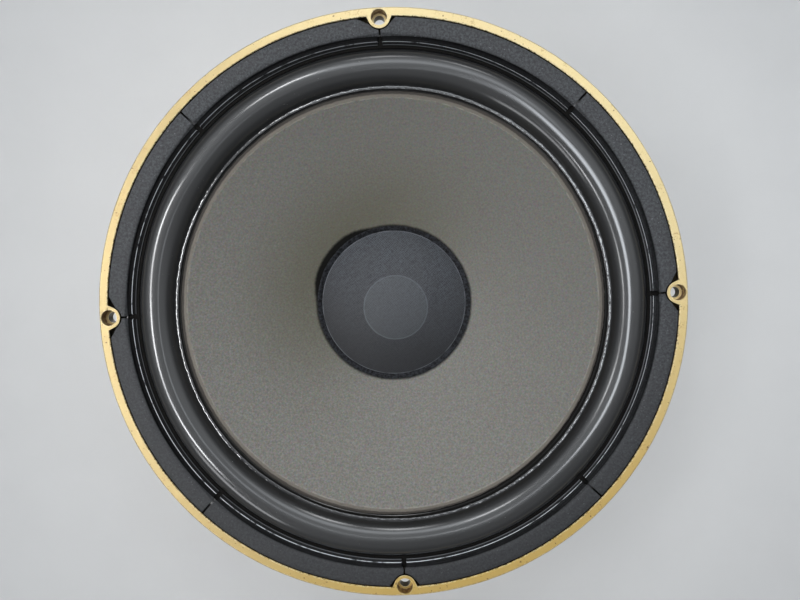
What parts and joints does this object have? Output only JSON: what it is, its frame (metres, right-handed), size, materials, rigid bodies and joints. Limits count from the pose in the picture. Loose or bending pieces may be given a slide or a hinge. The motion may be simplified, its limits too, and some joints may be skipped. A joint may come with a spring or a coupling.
{
  "type": "loudspeaker driver",
  "caption": "Large woofer: cast basket with gold rim, segmented gasket, rubber half-roll surround, felted cone, cloth cap, cup magnet and push terminals.",
  "frame": {"origin": "centre of the rim's rear mounting face", "axes": "+Z out of the front along the cone's axis, +X and +Y towards two mounting holes, terminals on the -Y side"},
  "size_m": [0.388, 0.388, 0.1484],
  "materials": {
    "rim_paint": "satin pale gold paint on cast aluminium",
    "gasket_felt": "matt charcoal fibre gasket",
    "surround_rubber": "smooth glossy black rubber",
    "cone_paper": "felted grey-brown paper",
    "black_adhesive": "glossy black adhesive bead",
    "cap_cloth": "slate grey doped cloth",
    "former_foil": "bare foil",
    "copper_wire": "enamelled copper",
    "spider_cloth": "resin-treated corrugated cloth",
    "pressed_board": "brown pressed board",
    "plated_steel": "plated steel",
    "magnet_alloy": "ground cast magnet alloy",
    "cup_paint": "cast iron under satin pale gold paint",
    "black_steel": "blackened steel",
    "phenolic": "brown phenolic sheet",
    "plated_brass": "dull plated brass",
    "red_plastic": "red moulded plastic",
    "black_plastic": "black moulded plastic",
    "spring_steel": "spring steel",
    "copper_braid": "braided copper"
  },
  "bodies": {
    "basket": {"frame": "rim_paint", "gasket_segment_1": "gasket_felt", "gasket_segment_2": "gasket_felt", "gasket_segment_3": "gasket_felt", "gasket_segment_4": "gasket_felt", "gasket_segment_5": "gasket_felt", "gasket_segment_6": "gasket_felt", "gasket_segment_7": "gasket_felt", "gasket_segment_8": "gasket_felt", "surround": "surround_rubber", "spider": "spider_cloth", "spider_clamp_ring": "pressed_board", "top_plate": "plated_steel", "pole_piece": "plated_steel", "magnet_slug": "magnet_alloy", "magnet_cup": "cup_paint", "magnet_screws": "black_steel", "terminal_board": "phenolic", "terminal_board_screws": "plated_steel", "terminal_post_red": "plated_brass", "terminal_post_black": "plated_brass", "terminal_spring_red": "spring_steel", "terminal_spring_black": "spring_steel", "solder_lug_red": "plated_brass", "solder_lug_black": "plated_brass", "tinsel_lead_red": "copper_braid", "tinsel_lead_black": "copper_braid"},
    "cone_assembly": {"cone": "cone_paper", "edge_adhesive": "black_adhesive", "dust_cap": "cap_cloth", "coil_former": "former_foil", "voice_coil": "copper_wire", "coil_lead_outs": "copper_wire"},
    "red_button": {"terminal_button_red": "red_plastic"},
    "black_button": {"terminal_button_black": "black_plastic"}
  },
  "joints": [
    {"name": "cone_travel", "type": "slide", "parent": "basket", "child": "cone_assembly", "axis": [0, 0, 1], "range_m": [-0.006, 0.006], "stiffness_N_per_m": 3500, "deforming": ["surround", "spider", "tinsel_lead_red", "tinsel_lead_black"]},
    {"name": "red_button_press", "type": "slide", "parent": "basket", "child": "red_button", "axis": [0, 1, 0], "range_m": [0, 0.0035], "stiffness_N_per_m": 400, "springref_m": -0.003, "deforming": ["terminal_spring_red"]},
    {"name": "black_button_press", "type": "slide", "parent": "basket", "child": "black_button", "axis": [0, 1, 0], "range_m": [0, 0.0035], "stiffness_N_per_m": 400, "springref_m": -0.003, "deforming": ["terminal_spring_black"]}
  ]
}
